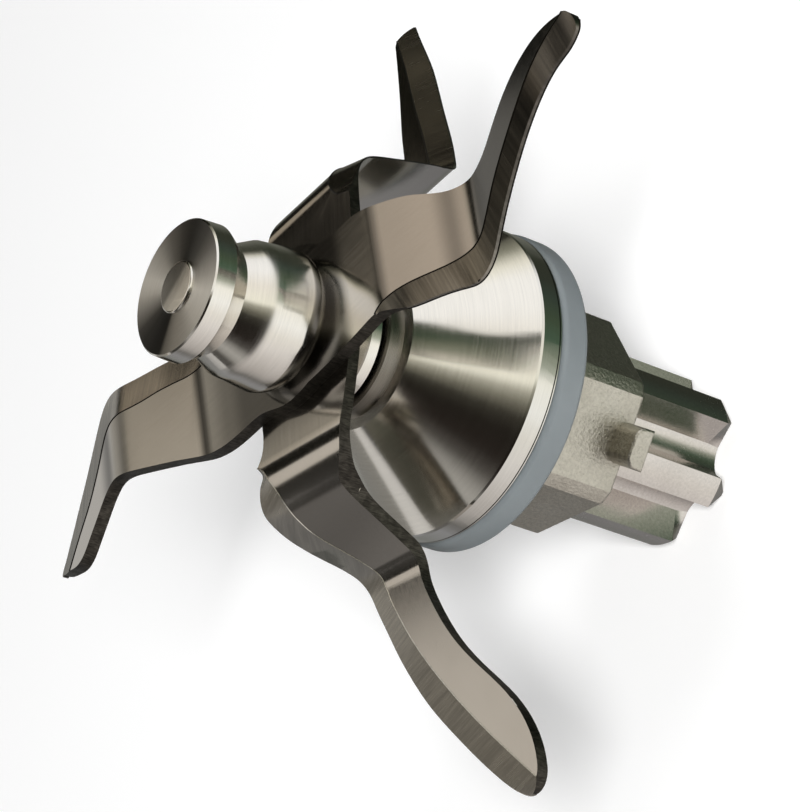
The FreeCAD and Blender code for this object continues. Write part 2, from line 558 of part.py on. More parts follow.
def top_knob():
    """The turned knob: foot, collar, waist and dished disc, bored for the spindle's stub."""
    collar_bottom = KNOB_BOTTOM + KNOB_COLLAR_BOTTOM
    waist = KNOB_COLLAR_TOP + KNOB_WAIST_HEIGHT
    points = [Vector(SHAFT_STUB_R, 0, KNOB_BOTTOM), Vector(KNOB_FOOT_R, 0, KNOB_BOTTOM),
              Vector(KNOB_COLLAR_R, 0, collar_bottom), Vector(KNOB_COLLAR_R, 0, collar_bottom + KNOB_EDGE),
              Vector(KNOB_SHOULDER_R, 0, KNOB_COLLAR_TOP), Vector(KNOB_WAIST_R, 0, waist),
              Vector(KNOB_DISC_R, 0, KNOB_DISC_BOTTOM), Vector(KNOB_FACE_R + KNOB_EDGE, 0, KNOB_TOP - KNOB_EDGE),
              Vector(KNOB_FACE_R, 0, KNOB_TOP), Vector(SHAFT_STUB_R, 0, KNOB_TOP - KNOB_FACE_DISH)]
    foot_bulge = Vector((KNOB_FOOT_R + KNOB_COLLAR_R) / 2 + 0.25, 0, (KNOB_BOTTOM + collar_bottom) / 2)
    edges = [line(points[0], points[1]), arc(points[1], foot_bulge, points[2])]
    edges += [line(points[i], points[(i + 1) % len(points)]) for i in range(2, len(points))]
    return Part.Face(Part.Wire(edges)).revolve(Vector(0, 0, 0), Vector(0, 0, 1), 360)


class Arm:
    """One arm of a blade plate: direction, fold places and slopes, plan outline and ground bevel."""

    def __init__(self, turn, folds, slopes, radii, run_out, trail, tip, edge, bevel):
        """Keeps the arm's values and works out its folded centre line in the (outward, height) plane."""
        self.turn = turn
        self.run_out = run_out
        self.trail = trail
        self.tip = tip
        self.edge = edge
        self.bevel = bevel
        mid, end = [math.radians(slope) for slope in slopes]
        second = (folds[1], (folds[1] - folds[0]) * math.tan(mid))
        last = (SHEET_REACH, second[1] + (SHEET_REACH - folds[1]) * math.tan(end))
        self.corners = [Vector(x, 0, z) for x, z in ((-HUB_R, 0.0), (folds[0], 0.0), second, last)]
        self.pieces = []
        start = self.corners[0]
        for i, radius in enumerate(radii, 1):
            before = (self.corners[i] - self.corners[i - 1]).normalize()
            after = (self.corners[i + 1] - self.corners[i]).normalize()
            angle = math.asin(before.x * after.z - before.z * after.x)
            reach = radius * math.tan(abs(angle) / 2)
            side = 1.0 if angle > 0 else -1.0
            tangent = self.corners[i] - before * reach
            centre = tangent + Vector(-before.z, 0, before.x) * (side * radius)
            self.pieces.append(("run", start, tangent, before))
            start = self.corners[i] + after * reach
            self.pieces.append(("bend", tangent, start, centre, side, radius))
        self.pieces.append(("run", start, self.corners[-1], after))

    def at(self, x):
        """The centre line's point and its upward normal at an outward distance."""
        piece = next((p for p in self.pieces if x <= p[2].x), self.pieces[-1])
        if piece[0] == "run":
            direction = piece[3]
            point = piece[1] + direction * ((x - piece[1].x) / direction.x)
            return point, Vector(-direction.z, 0, direction.x)
        centre, side, radius = piece[3:]
        point = Vector(x, 0, centre.z - side * math.sqrt(radius ** 2 - (x - centre.x) ** 2))
        return point, (centre - point).normalize() * side

    def side_view(self, thickness):
        """The side view as a closed face, one sheet thickness wide."""
        sides = []
        for offset in (thickness / 2, -thickness / 2):
            edges = []
            for piece in self.pieces:
                if piece[0] == "run":
                    shift = Vector(-piece[3].z, 0, piece[3].x) * offset
                    edges.append(line(piece[1] + shift, piece[2] + shift))
                else:
                    centre, side, radius = piece[3:]
                    out = [(point - centre).normalize() for point in piece[1:3]]
                    middle = (out[0] + out[1]).normalize()
                    r = radius - side * offset
                    edges.append(arc(centre + out[0] * r, centre + middle * r, centre + out[1] * r))
            sides.append(edges)
        top, bottom = sides
        ends = [line(top[0].Vertexes[0].Point, bottom[0].Vertexes[0].Point),
                line(top[-1].Vertexes[-1].Point, bottom[-1].Vertexes[-1].Point)]
        return Part.Face(Part.Wire(Part.__sortEdges__(top + bottom + ends)))

    def outline(self, z):
        """The arm's closed plan outline: trailing edge, rounded tip, cutting edge."""
        trail = [Vector(x, y, z) for x, y in self.trail]
        edge = [Vector(x, y, z) for x, y in reversed(self.edge)]
        tip = arc(trail[-1], Vector(self.tip[0], self.tip[1], z), edge[0])
        return Part.Face(Part.Wire([spline(trail), tip, spline(edge), line(edge[-1], trail[0])]))

    def bevel_waste(self, thickness, land):
        """What grinding takes off: a band lofted along the cutting edge, which comes in over its run-out."""
        line_y = plan_curve(self.bevel)
        edge_y = plan_curve(self.edge)
        first = self.bevel[0][0]
        wires = []
        for x in steps_between([place[0] for place in self.bevel], BEVEL_STEPS):
            inner_y = value_at(line_y, x)
            outer_y = min(value_at(edge_y, x), inner_y - BEVEL_LEAST_WIDTH)
            share = min(1.0, (x - first) / self.run_out)
            slope = (thickness - land) * share / (inner_y - outer_y)
            near = inner_y + CUTTER_INNER_MARGIN
            far = outer_y - CUTTER_OUTER_MARGIN
            top = thickness / 2 + BEVEL_START_LIFT * (1.0 - share)
            corners = [(near, top + slope * CUTTER_INNER_MARGIN), (far, top - slope * (inner_y - far)),
                       (far, top + CUTTER_HEIGHT), (near, top + CUTTER_HEIGHT)]
            point, normal = self.at(x)
            place = [point + normal * h + Vector(0, y, 0) for y, h in corners]
            wires.append(Part.makePolygon(place + [place[0]]))
        return Part.makeLoft(wires, True, False)

    def solid(self, thickness, land):
        """The arm with its share of the hub, folded, cut out, ground and turned to its direction."""
        face = self.side_view(thickness)
        face.translate(Vector(0, -CUTTER, 0))
        slab = face.extrude(Vector(0, 2 * CUTTER, 0))
        arm = slab.common(self.outline(-CUTTER).extrude(Vector(0, 0, 2 * CUTTER)))
        arm = arm.cut(self.bevel_waste(thickness, land))
        arm.rotate(Vector(0, 0, 0), Vector(0, 0, 1), self.turn)
        return max(arm.Solids, key=lambda solid: solid.Volume)


def plan_curve(points):
    """Close points along the smooth plan curve through some points."""
    curve = Part.BSplineCurve()
    curve.interpolate([Vector(x, y, 0) for x, y in points])
    return [(point.x, point.y) for point in curve.discretize(Number=CURVE_POINTS)]


def steps_between(values, count):
    """Rising values with each gap between two of them divided into equal steps."""
    found = []
    for low, high in zip(values, values[1:]):
        found.extend(low + (high - low) * i / count for i in range(count))
    return found + [values[-1]]


def value_at(points, x):
    """The sideways place of a plan curve at an outward distance, by straight steps between its points."""
    pairs = sorted(points)
    last = len(pairs) - 2
    k = next((i for i in range(last) if x < pairs[i + 1][0]), last)
    (x0, y0), (x1, y1) = pairs[k], pairs[k + 1]
    return y0 + (y1 - y0) * (x - x0) / (x1 - x0)


def blade_plate(bottom, thickness, land, arms):
    """A two-armed blade plate: hub disc, two folded arms and the flatted hole."""
    plate = cylinder(HUB_R, -thickness / 2, thickness / 2)
    for arm in arms:
        plate = plate.fuse(arm.solid(thickness, land))
    plate.translate(Vector(0, 0, bottom + thickness / 2))
    low = bottom - HOLE_MARGIN
    high = bottom + thickness + HOLE_MARGIN
    hole = cylinder(SHAFT_STUB_R + BLADE_HOLE_CLEARANCE, low, high)
    half = FLAT_HALF_WIDTH + BLADE_HOLE_CLEARANCE
    keep = Part.makeBox(4 * SHAFT_R, 2 * half, high - low, Vector(-2 * SHAFT_R, -half, low))
    keep.rotate(Vector(0, 0, 0), Vector(0, 0, 1), FLAT_TURN)
    return plate.cut(hole.common(keep)).removeSplitter()


def upper_blade():
    """Arms 1 and 3, nearly flat: one rises outside its outer fold, the other dips."""
    arm1 = Arm(ARM1_TURN, ARM1_FOLDS, ARM1_SLOPES, ARM1_RADII, ARM1_RUN_OUT, ARM1_TRAIL, ARM1_TIP,
               ARM1_EDGE, ARM1_BEVEL)
    arm3 = Arm(ARM3_TURN, ARM3_FOLDS, ARM3_SLOPES, ARM3_RADII, ARM3_RUN_OUT, ARM3_TRAIL, ARM3_TIP,
               ARM3_EDGE, ARM3_BEVEL)
    return blade_plate(UPPER_BLADE_BOTTOM, UPPER_SHEET_T, UPPER_EDGE_LAND, (arm1, arm3))


def lower_blade():
    """Arms 4 and 2, folded steeply down beside the cone and out again."""
    arm4 = Arm(ARM4_TURN, ARM4_FOLDS, ARM4_SLOPES, ARM4_RADII, ARM4_RUN_OUT, ARM4_TRAIL, ARM4_TIP,
               ARM4_EDGE, ARM4_BEVEL)
    arm2 = Arm(ARM2_TURN, ARM2_FOLDS, ARM2_SLOPES, ARM2_RADII, ARM2_RUN_OUT, ARM2_TRAIL, ARM2_TIP,
               ARM2_EDGE, ARM2_BEVEL)
    return blade_plate(LOWER_BLADE_BOTTOM, LOWER_SHEET_T, EDGE_LAND, (arm4, arm2))


def main():
    """Builds and writes every sub-part."""
    os.makedirs("parts", exist_ok=True)
    save("drive_coupling", drive_coupling())
    save("coupling_key", key_block())
    save("coupling_washer", coupling_washer())
    save("coupling_screw", coupling_screw())
    save("drive_shaft", drive_shaft())
    bearing("lower", LOWER_BEARING_BOTTOM)
    bearing("upper", UPPER_BEARING_BOTTOM)
    spacer_bottom = LOWER_BEARING_BOTTOM + BEARING_WIDTH
    save("inner_race_spacer", tube(SHAFT_R + RACE_SPACER_WALL, SHAFT_R, spacer_bottom, UPPER_BEARING_BOTTOM))
    save("outer_race_spacer", tube(BEARING_R, BEARING_R - RACE_SPACER_WALL, spacer_bottom, UPPER_BEARING_BOTTOM))
    save("retaining_ring", retaining_ring())
    save("bearing_housing", bearing_housing())
    save("sealing_ring", sealing_ring())
    save("lip_seal_case", lip_seal_case())
    save("lip_seal", lip_seal())
    save("garter_spring", garter_spring())
    save("slinger", slinger())
    save("upper_blade", upper_blade())
    save("lower_blade", lower_blade())
    save("top_knob", top_knob())


main()
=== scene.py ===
import json
import logging
import math
from collections.abc import Callable, Sequence
from dataclasses import dataclass, field
from enum import Enum

import bpy
from mathutils import Matrix, Vector

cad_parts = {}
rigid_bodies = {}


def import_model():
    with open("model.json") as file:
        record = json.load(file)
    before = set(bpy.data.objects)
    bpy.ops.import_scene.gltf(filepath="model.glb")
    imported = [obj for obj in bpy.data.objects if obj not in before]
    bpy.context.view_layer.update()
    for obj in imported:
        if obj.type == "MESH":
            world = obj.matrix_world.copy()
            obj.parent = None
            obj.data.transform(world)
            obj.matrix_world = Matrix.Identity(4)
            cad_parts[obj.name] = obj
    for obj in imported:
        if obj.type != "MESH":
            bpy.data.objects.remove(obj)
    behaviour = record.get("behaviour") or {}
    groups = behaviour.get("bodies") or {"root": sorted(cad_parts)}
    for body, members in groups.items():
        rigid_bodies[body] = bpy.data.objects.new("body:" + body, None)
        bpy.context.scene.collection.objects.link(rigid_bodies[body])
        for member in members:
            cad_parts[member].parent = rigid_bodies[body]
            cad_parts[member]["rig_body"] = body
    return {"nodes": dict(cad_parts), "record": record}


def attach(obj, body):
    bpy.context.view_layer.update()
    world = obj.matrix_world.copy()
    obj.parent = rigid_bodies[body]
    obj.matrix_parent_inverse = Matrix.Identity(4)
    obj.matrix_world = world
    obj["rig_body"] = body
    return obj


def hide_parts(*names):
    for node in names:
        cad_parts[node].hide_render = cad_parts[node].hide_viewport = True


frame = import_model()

LOG = logging.getLogger("blade_assembly")
MM = 0.001
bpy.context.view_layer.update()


class Grain(Enum):
    """The way a metal surface was made, which decides how its fine marks run."""

    TURNED = "rings about the spindle"
    LONG_GRAIN = "lines along an arm"
    CROSS_GROUND = "lines across an arm"
    CAST = "round sandy grain"
    SHEARED = "torn edge"
    POLISHED = "faint scratches"


def linear(code: str) -> tuple[float, float, float, float]:
    """Turns an sRGB hex colour into a linear one.

    Args:
        code: The colour as "#RRGGBB".

    Returns:
        Linear red, green, blue and an alpha of 1.
    """
    parts = [int(code[i:i + 2], 16) / 255 for i in (1, 3, 5)]
    r, g, b = [p / 12.92 if p <= 0.04045 else ((p + 0.055) / 1.055) ** 2.4 for p in parts]
    return r, g, b, 1.0


def add_node(tree: bpy.types.NodeTree, kind: str, settings: dict | None = None,
             values: dict | None = None, links: dict | None = None) -> bpy.types.Node:
    """Adds a node with its settings, socket values and links.

    Args:
        tree: The node tree.
        kind: The node's type name, without its ShaderNode prefix.
        settings: Properties of the node.
        values: Values of input sockets by name or number.
        links: Output sockets by the name or number of the input that they go to.

    Returns:
        The new node.
    """
    node = tree.nodes.new("ShaderNode" + kind)
    for name, value in (settings or {}).items():
        setattr(node, name, value)
    for socket, value in (values or {}).items():
        node.inputs[socket].default_value = value
    for socket, output in (links or {}).items():
        tree.links.new(output, node.inputs[socket])
    return node


def new_material(name: str) -> tuple[bpy.types.Material, bpy.types.NodeTree]:
    """Makes an empty node material.

    Args:
        name: The material's name.

    Returns:
        The material and its node tree.
    """
    material = bpy.data.materials.new(name)
    material.use_nodes = True
    material.node_tree.nodes.clear()
    return material, material.node_tree


def close_material(tree: bpy.types.NodeTree, shader: bpy.types.NodeSocket) -> None:
    """Links a shader to the material's output.

    Args:
        tree: The material's node tree.
        shader: The output socket of the last shader.
    """
    add_node(tree, "OutputMaterial", links={"Surface": shader})


@dataclass(frozen=True)
class PaintedShadeBands:
    """Painted shade in stripes along one direction of a piece, standing in for dark reflections such as those at a
    blade plate's folds.
    """

    turn_deg: float
    stops: tuple[tuple[float, float], ...]
    reach_mm: float = 65.0

    def shade(self, tree: bpy.types.NodeTree, place: bpy.types.NodeSocket) -> bpy.types.NodeSocket:
        """Adds the painted shade along the piece.

        Args:
            tree: The material's node tree.
            place: The place's vector output.

        Returns:
            A grey colour output, 1 where the sheet keeps its full tint.
        """
        angle = math.radians(self.turn_deg)
        along = add_node(tree, "VectorMath", {"operation": "DOT_PRODUCT"},
                         {1: (math.cos(angle), math.sin(angle), 0.0)}, {0: place})
        share = add_node(tree, "MapRange", values={1: -self.reach_mm * MM, 2: self.reach_mm * MM},
                         links={0: along.outputs["Value"]})
        ramp = add_node(tree, "ValToRGB", links={0: share.outputs[0]})
        ramp.color_ramp.interpolation = "EASE"
        first, last = ramp.color_ramp.elements
        for element, (at_mm, grey) in zip((first, last), (self.stops[0], self.stops[-1])):
            element.position = (at_mm + self.reach_mm) / (2 * self.reach_mm)
            element.color = (grey, grey, grey, 1.0)
        for at_mm, grey in self.stops[1:-1]:
            element = ramp.color_ramp.elements.new((at_mm + self.reach_mm) / (2 * self.reach_mm))
            element.color = (grey, grey, grey, 1.0)
        return ramp.outputs[0]


@dataclass(frozen=True)
class PaintedFans:
    """Fans of painted light and shade around a faced end, standing in for the reflections that fan out from its rings.
    """

    stops: tuple[tuple[float, float], ...]

    def shade(self, tree: bpy.types.NodeTree, place: bpy.types.NodeSocket) -> bpy.types.NodeSocket:
        """Adds the fans' painted shade around the spindle.

        Args:
            tree: The material's node tree.
            place: The place's vector output.

        Returns:
            A grey colour output, 1 where the metal keeps its full tint.
        """
        axes = add_node(tree, "SeparateXYZ", links={0: place}).outputs
        around = add_node(tree, "Math", {"operation": "ARCTAN2"}, links={0: axes[1], 1: axes[0]})
        share = add_node(tree, "MapRange", values={1: -math.pi, 2: math.pi}, links={0: around.outputs[0]})
        ramp = add_node(tree, "ValToRGB", links={0: share.outputs[0]})
        first, last = ramp.color_ramp.elements
        for element, (turn, grey) in zip((first, last), (self.stops[0], self.stops[-1])):
            element.position, element.color = (turn + 180.0) / 360.0, (grey, grey, grey, 1.0)
        for turn, grey in self.stops[1:-1]:
            ramp.color_ramp.elements.new((turn + 180.0) / 360.0).color = (grey, grey, grey, 1.0)
        return ramp.outputs[0]


@dataclass(frozen=True)
class MetalFinish:
    """A bare metal surface with fine marks, slow smudges, a few hairline scratches and, on some pieces, painted light
    and shade.
    """

    name: str
    tint: str
    smudge_tint: str
    grain: Grain
    roughness: tuple[float, float]
    pitch_mm: float
    depth_mm: float
    anisotropy: float = 0.0
    turn_deg: float = 0.0
    smudge_mm: float = 9.0
    bump: float = 0.5
    mark_shade: float = 0.12
    scratches: float = 0.35
    # Painted light and shade that is multiplied into the colour, or None
    painted_light: PaintedShadeBands | PaintedFans | None = None

    def marks(self, tree: bpy.types.NodeTree, place: bpy.types.NodeSocket) -> bpy.types.NodeSocket:
        """Adds the fine marks that the surface was made with.

        Args:
            tree: The material's node tree.
            place: The place's vector output.

        Returns:
            The marks' height output.
        """
        per_mark = 1.0 / (self.pitch_mm * MM)
        look = {"Scale": 1.0, "Detail": 3.0, "Roughness": 0.6}
        if self.grain is Grain.TURNED:
            flat = add_node(tree, "VectorMath", {"operation": "MULTIPLY"}, {1: (1.0, 1.0, 0.0)}, {0: place})
            radius = add_node(tree, "VectorMath", {"operation": "LENGTH"}, links={0: flat.outputs[0]})
            around = add_node(tree, "VectorMath", {"operation": "NORMALIZE"}, links={0: flat.outputs[0]})
            height = add_node(tree, "VectorMath", {"operation": "MULTIPLY"}, {1: (0.0, 0.0, per_mark)}, {0: place})
            ring = add_node(tree, "VectorMath", {"operation": "MULTIPLY_ADD"}, {1: (2.0, 2.0, 0.0)},
                            {0: around.outputs[0], 2: height.outputs[0]})
            out = add_node(tree, "Math", {"operation": "MULTIPLY"}, {1: per_mark}, {0: radius.outputs["Value"]})
            return add_node(tree, "TexNoise", {"noise_dimensions": "4D"}, look,
                            {"Vector": ring.outputs[0], "W": out.outputs[0]}).outputs["Fac"]
        stretch = {Grain.LONG_GRAIN: (0.03, 1.0, 1.0), Grain.CROSS_GROUND: (1.0, 0.04, 0.04),
                   Grain.POLISHED: (0.35, 1.0, 1.0), Grain.SHEARED: (1.0, 1.0, 0.14)}.get(self.grain, (1.0,) * 3)
        turned = add_node(tree, "Mapping", {"vector_type": "POINT"},
                          {"Rotation": (0.0, 0.0, math.radians(-self.turn_deg))}, {0: place})
        sized = add_node(tree, "VectorMath", {"operation": "MULTIPLY"},
                         {1: tuple(per_mark * s for s in stretch)}, {0: turned.outputs[0]})
        return add_node(tree, "TexNoise", {"noise_dimensions": "3D"}, look,
                        {"Vector": sized.outputs[0]}).outputs["Fac"]

    def hairlines(self, tree: bpy.types.NodeTree, place: bpy.types.NodeSocket) -> bpy.types.NodeSocket:
        """Adds sparse hairline scratches from handling, about 0.1 mm wide so that they show.

        Args:
            tree: The material's node tree.
            place: The place's vector output.

        Returns:
            Their mask output, 1 on a scratch.
        """
        bent = add_node(tree, "TexNoise", values={"Scale": 60.0, "Detail": 1.0}, links={"Vector": place})
        swayed = add_node(tree, "VectorMath", {"operation": "MULTIPLY_ADD"}, {1: (0.004, 0.004, 0.004)},
                          {0: bent.outputs["Color"], 2: place})
        turned = add_node(tree, "Mapping", {"vector_type": "POINT"},
                          {"Rotation": (0.4, 0.2, 0.9), "Scale": (40.0, 900.0, 900.0)}, {0: swayed.outputs[0]})
        cells = add_node(tree, "TexVoronoi", {"feature": "DISTANCE_TO_EDGE"}, {"Scale": 0.35},
                         {"Vector": turned.outputs[0]})
        thin = add_node(tree, "MapRange", values={1: 0.0, 2: 0.035, 3: 1.0, 4: 0.0}, links={0: cells.outputs[0]})
        patch = add_node(tree, "TexNoise", values={"Scale": 140.0, "Detail": 1.0}, links={"Vector": place})
        some = add_node(tree, "MapRange", values={1: 0.56, 2: 0.66}, links={0: patch.outputs["Fac"]})
        return add_node(tree, "Math", {"operation": "MULTIPLY"},
                        links={0: thin.outputs[0], 1: some.outputs[0]}).outputs[0]

    def build(self) -> bpy.types.Material:
        """Makes the material.

        Returns:
            The finished material.
        """
        material, tree = new_material(self.name)
        place = add_node(tree, "TexCoord").outputs["Object"]
        marks = self.marks(tree, place)
        hairs = self.hairlines(tree, place)
        smudge = add_node(tree, "TexNoise", values={"Scale": 1.0 / (self.smudge_mm * MM), "Detail": 2.0},
                          links={"Vector": place}).outputs["Fac"]
        colour = add_node(tree, "Mix", {"data_type": "RGBA"},
                          {6: linear(self.tint), 7: linear(self.smudge_tint)}, {0: smudge}).outputs[2]
        grooved = add_node(tree, "MapRange", values={1: 0.35, 2: 0.65, 3: 1.0 - 2 * self.mark_shade, 4: 1.0},
                           links={0: marks})
        colour = add_node(tree, "VectorMath", {"operation": "SCALE"}, links={0: colour, "Scale": grooved.outputs[0]}
                          ).outputs[0]
        # Multiplies the painted light and shade into the colour
        if self.painted_light:
            colour = add_node(tree, "VectorMath", {"operation": "MULTIPLY"},
                              links={0: colour, 1: self.painted_light.shade(tree, place)}).outputs[0]
        both = add_node(tree, "Math", {"operation": "MULTIPLY_ADD"}, {1: 0.6},
                        {0: marks, 2: add_node(tree, "Math", {"operation": "MULTIPLY"}, {1: 0.4},
                                               {0: smudge}).outputs[0]})
        rough = add_node(tree, "MapRange", values={1: 0.3, 2: 0.7, 3: self.roughness[0], 4: self.roughness[1]},
                         links={0: both.outputs[0]})
        rough = add_node(tree, "Math", {"operation": "MULTIPLY_ADD"}, {1: 0.2 * self.scratches},
                         {0: hairs, 2: rough.outputs[0]})
        cut = add_node(tree, "Math", {"operation": "MULTIPLY_ADD"}, {1: -self.scratches}, {0: hairs, 2: marks})
        relief = add_node(tree, "Bump", values={"Strength": self.bump, "Distance": self.depth_mm * MM},
                          links={"Height": cut.outputs[0]})
        shader = add_node(tree, "BsdfPrincipled", values={"Metallic": 1.0, "Anisotropic": self.anisotropy},
                          links={"Base Color": colour, "Roughness": rough.outputs[0],
                                 "Normal": relief.outputs[0]})
        if self.anisotropy:
            shader.inputs["Anisotropic Rotation"].default_value = 0.25
            tangent = add_node(tree, "Tangent", {"direction_type": "RADIAL", "axis": "Z"})
            tree.links.new(tangent.outputs[0], shader.inputs["Tangent"])
        close_material(tree, shader.outputs[0])
        return material


@dataclass(frozen=True)
class RubberFinish:
    """A moulded rubber surface with a faint skin and, for silicone, a little light passing in."""

    name: str
    tint: str
    shade: str
    roughness: tuple[float, float]
    see_in: float = 0.0
    depth_mm: float = 0.01

    def build(self) -> bpy.types.Material:
        """Makes the material.

        Returns:
            The finished material.
        """
        material, tree = new_material(self.name)
        place = add_node(tree, "TexCoord").outputs["Object"]
        cloud = add_node(tree, "TexNoise", values={"Scale": 180.0, "Detail": 3.0}, links={"Vector": place})
        fine = add_node(tree, "TexNoise", values={"Scale": 5200.0, "Detail": 2.0}, links={"Vector": place})
        colour = add_node(tree, "Mix", {"data_type": "RGBA"}, {6: linear(self.tint), 7: linear(self.shade)},
                          {0: cloud.outputs["Fac"]})
        rough = add_node(tree, "MapRange", values={1: 0.3, 2: 0.7, 3: self.roughness[0], 4: self.roughness[1]},
                         links={0: cloud.outputs["Fac"]})
        relief = add_node(tree, "Bump", values={"Strength": 0.3, "Distance": self.depth_mm * MM},
                          links={"Height": fine.outputs["Fac"]})
        shader = add_node(tree, "BsdfPrincipled",
                          values={"IOR": 1.43, "Subsurface Weight": self.see_in, "Subsurface Scale": 0.001,
                                  "Subsurface Radius": (1.0, 1.1, 1.2)},
                          links={"Base Color": colour.outputs[2], "Roughness": rough.outputs[0],
                                 "Normal": relief.outputs[0]})
        close_material(tree, shader.outputs[0])
        return material


# Painted shade on the upper plate, from arm 3's tip to arm 1's tip, in millimetres and shade: dark reflections painted
# at its folds, its hub and arm 1's outer end
UPPER_PAINTED_SHADE = PaintedShadeBands(-45.0, ((-64.0, 1.0), (-42.0, 1.0), (-38.5, 0.3), (-36.6, 0.95), (-34.6, 0.5), (-32.6, 1.0),
                                (-20.2, 0.96), (-18.7, 0.15), (-17.2, 0.9), (-13.5, 0.55), (-10.0, 0.3), (10.0, 0.28),
                                (12.5, 0.95), (16.4, 0.9),
                                (17.6, 0.3), (19.4, 0.9), (27.0, 1.0), (30.2, 0.55), (32.4, 0.9), (35.4, 0.2),
                                (38.5, 0.25), (64.0, 0.35)))
# Painted shade on arm 1's ground bevel, as dark as its tip, from its outer bend on
UPPER_BEVEL_PAINTED_SHADE = PaintedShadeBands(-45.0, ((-64.0, 1.0), (26.0, 1.0), (33.0, 0.7), (37.0, 0.28), (64.0, 0.4)))
# The same painted shade for the lower plate, from arm 4's tip to arm 2's tip, darkest at its hub under the upper plate
LOWER_PAINTED_SHADE = PaintedShadeBands(37.0, ((-64.0, 1.0), (-28.0, 1.0), (-25.5, 0.9), (-23.0, 0.7), (-21.0, 0.8), (-19.0, 1.0),
                               (-15.0, 0.95), (-10.0, 0.6), (10.0, 0.5), (18.0, 0.7), (23.0, 1.0), (26.0, 0.8),
                               (29.0, 0.7), (64.0, 0.8)))

# The knob's end, by direction in degrees: two painted dark fans with bright metal between them, a painted reflection
KNOB_PAINTED_FANS = PaintedFans(((-180.0, 0.05), (-171.0, 0.06), (-165.0, 0.5), (-150.0, 0.68), (-115.0, 1.0), (-85.0, 0.95),
                        (-60.0, 0.62), (-38.0, 0.3), (-20.0, 0.16), (5.0, 0.1), (25.0, 0.14), (45.0, 0.3),
                        (65.0, 0.6), (90.0, 0.78), (108.0, 0.7), (126.0, 0.36), (142.0, 0.1), (156.0, 0.05),
                        (180.0, 0.05)))
# The spindle's domed end: painted shade on one side, bright on the other
DOME_PAINTED_LIGHT = PaintedShadeBands(-110.0, ((-5.0, 0.25), (-2.2, 0.4), (-0.8, 0.35), (0.2, 0.8), (1.6, 1.0), (5.0, 0.9)), 5.0)
# Painted shade on the lower plate's burr line along arm 2, so that it shines on arm 4 only
LOWER_BURR_PAINTED_SHADE = PaintedShadeBands(37.0, ((-64.0, 1.0), (-2.0, 1.0), (6.0, 0.08), (64.0, 0.08)))

# Bright turned 18/8 stainless: fine lathe rings that fan the light out across them
TURNED_STAINLESS = MetalFinish("turned_stainless_steel", "#F8F5EF", "#EEEAE2", Grain.TURNED, (0.12, 0.20), 0.16,
                               0.0016, anisotropy=0.72, mark_shade=0.04, scratches=0.08)
# The knob's faced end: radial fans of light and dark, from coarser feed marks and from painted reflection fans
FACED_STAINLESS = MetalFinish("faced_stainless_steel", "#F2EFE9", "#E8E4DC", Grain.TURNED, (0.30, 0.36), 0.2,
                              0.002, anisotropy=0.95, mark_shade=0.04, scratches=0.05, painted_light=KNOB_PAINTED_FANS)
# The spindle's domed end in the knob's face: polished round, without rings
POLISHED_DOME = MetalFinish("polished_spindle_steel", "#EDE9E1", "#E4E0D8", Grain.POLISHED, (0.20, 0.24), 0.3, 0.0004,
                            mark_shade=0.03, scratches=0.0, painted_light=DOME_PAINTED_LIGHT)
# Satin-turned stainless cone: broader soft streaks up the cone
SATIN_CONE = MetalFinish("satin_turned_stainless_steel", "#FBF8F1", "#EFEBE3", Grain.TURNED, (0.14, 0.22), 0.16,
                         0.002, anisotropy=0.75, mark_shade=0.035, scratches=0.05)
# The neck above the cone, turned and duller, darkened with painted shade where it mirrors the blades' dark undersides
NECK_PAINTED_SHADE = MetalFinish("turned_stainless_neck_painted_shade", "#98938A", "#827D74", Grain.TURNED, (0.22, 0.34), 0.25, 0.004,
                        anisotropy=0.5, mark_shade=0.08, scratches=0.05)
# The two fine grooves above the seal, painted dark as their shadow lines
GROOVE_PAINTED_SHADOW = MetalFinish("groove_painted_shadow_steel", "#3A3A36", "#262623", Grain.TURNED, (0.35, 0.50), 0.2, 0.002,
                          scratches=0.0)
# Polished stainless rim: almost a mirror, with a greenish cast from what it mirrors
POLISHED_RIM = MetalFinish("polished_stainless_steel", "#F0EEE8", "#E4E2DC", Grain.TURNED, (0.08, 0.14), 0.25,
                           0.0008, anisotropy=0.5, mark_shade=0.03, scratches=0.08)
# Investment-cast stainless: the sandy skin that the ceramic shell leaves
CAST_SKIN = MetalFinish("investment_cast_stainless_steel", "#DEDACF", "#C6C1B5", Grain.CAST, (0.30, 0.42), 0.42,
                        0.14, smudge_mm=5.0, bump=0.9, mark_shade=0.10, scratches=0.1)
# Machined bores and faces that don't show much
MACHINED = MetalFinish("machined_stainless_steel", "#C9C5BB", "#B5B0A4", Grain.TURNED, (0.22, 0.34), 0.3, 0.004,
                       anisotropy=0.5, scratches=0.1)
# Cast and tumbled drive star: smooth pale lands with a very fine pitted skin
DRIVE_STAR = MetalFinish("tumbled_cast_steel", "#E6E1DC", "#D2CCC6", Grain.CAST, (0.18, 0.28), 0.35, 0.02,
                         smudge_mm=6.0, bump=0.4, mark_shade=0.05, scratches=0.1)
# Rolled and polished blade sheet: clean grey, with a long faint rolling grain and painted shade at its folds
BLADE_SHEET_UP = MetalFinish("polished_stainless_sheet_upper", "#D9D5CF", "#CFCAC2", Grain.LONG_GRAIN, (0.10, 0.16),
                             0.3, 0.0005, turn_deg=-45.0, smudge_mm=14.0, mark_shade=0.02, scratches=0.12,
                             painted_light=UPPER_PAINTED_SHADE)
BLADE_SHEET_LOW = MetalFinish("polished_stainless_sheet_lower", "#D9D5CF", "#CFCAC2", Grain.LONG_GRAIN,
                              (0.10, 0.16), 0.3, 0.0005, turn_deg=37.0, smudge_mm=14.0, mark_shade=0.02,
                              scratches=0.12, painted_light=LOWER_PAINTED_SHADE)
